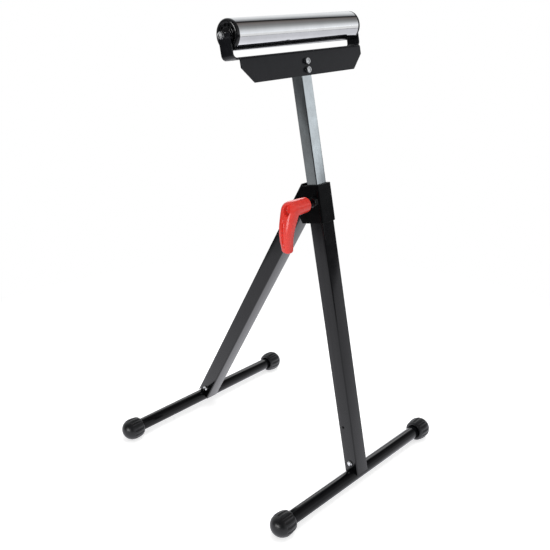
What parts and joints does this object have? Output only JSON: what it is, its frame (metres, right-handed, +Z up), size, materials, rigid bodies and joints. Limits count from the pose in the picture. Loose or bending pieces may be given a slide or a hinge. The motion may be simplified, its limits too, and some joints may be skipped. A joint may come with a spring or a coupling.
{
  "type": "folding roller stand",
  "caption": "Height-adjustable folding roller stand with a chrome roller on a clamped sliding post, a hinged rear leg and round foot tubes with rubber ends.",
  "frame": {"origin": "on the floor, under the centre of the bounding box", "axes": "+X along the roller and the foot tubes, -Y to the front where the cradle plate faces, +Z up"},
  "size_m": [0.4654, 0.4786, 0.8548],
  "materials": {
    "satin_black": "satin black powder coat",
    "gloss_black": "gloss black enamel",
    "zinc": "bright zinc plate",
    "chrome": "polished chrome",
    "bright_steel": "ground steel",
    "black_steel": "black oxide on steel",
    "black_rubber": "moulded rubber",
    "black_plastic": "moulded plastic",
    "grey_plastic": "moulded plastic",
    "red_plastic": "satin red moulding"
  },
  "bodies": {
    "front_frame": {"front_leg": "satin_black", "collar_bracket": "satin_black", "clamp_weld_nut": "satin_black", "pivot_bolt": "zinc", "pivot_nut": "zinc", "foot_tube_front": "gloss_black", "foot_bolt_front": "zinc", "foot_nut_front": "zinc", "foot_cap_front_left": "black_rubber", "foot_cap_front_right": "black_rubber"},
    "post": {"inner_post": "zinc", "post_glide": "grey_plastic", "roller_cradle": "satin_black", "cradle_bolt_upper": "zinc", "cradle_nut_upper": "zinc", "cradle_bolt_lower": "zinc", "cradle_nut_lower": "zinc", "roller_axle": "zinc", "axle_nut_left": "zinc", "axle_nut_right": "zinc", "axle_lock_nut_left": "zinc", "axle_lock_nut_right": "zinc", "axle_spacer_left": "bright_steel", "axle_spacer_right": "bright_steel"},
    "roller": {"roller_tube": "chrome", "roller_end_cap_left": "black_plastic", "roller_end_cap_right": "black_plastic", "roller_bearing_left": "bright_steel", "roller_bearing_right": "bright_steel"},
    "rear_frame": {"rear_leg": "satin_black", "foot_tube_rear": "gloss_black", "foot_bolt_rear": "zinc", "foot_nut_rear": "zinc", "foot_cap_rear_left": "black_rubber", "foot_cap_rear_right": "black_rubber"},
    "clamp_tip": {"clamp_pad": "bright_steel"},
    "clamp_lever": {"clamp_screw": "black_steel", "clamp_handle": "red_plastic"}
  },
  "joints": [
    {"name": "post_slide", "type": "slide", "parent": "front_frame", "child": "post", "axis": [0, 0.2089, 0.9779], "range_m": [-0.183, 0.235]},
    {"name": "roller_spin", "type": "hinge", "parent": "post", "child": "roller", "pos_m": [0, -0.03956, 0.8298], "axis": [1, 0, 0], "continuous": true},
    {"name": "rear_leg_fold", "type": "hinge", "parent": "front_frame", "child": "rear_frame", "pos_m": [0, -0.07444, 0.53733], "axis": [-1, 0, 0], "range_deg": [0, 41.5]},
    {"name": "clamp_travel", "type": "slide", "parent": "front_frame", "child": "clamp_tip", "axis": [-1, 0, 0], "range_m": [0, 0.0015]},
    {"name": "clamp_turn", "type": "hinge", "parent": "clamp_tip", "child": "clamp_lever", "pos_m": [-0.06, -0.11188, 0.54635], "axis": [-1, 0, 0], "range_deg": [0, 360]}
  ],
  "couplings": [
    {"joint": "clamp_turn", "follows": "clamp_travel", "rad_per_m": 4188.8}
  ]
}
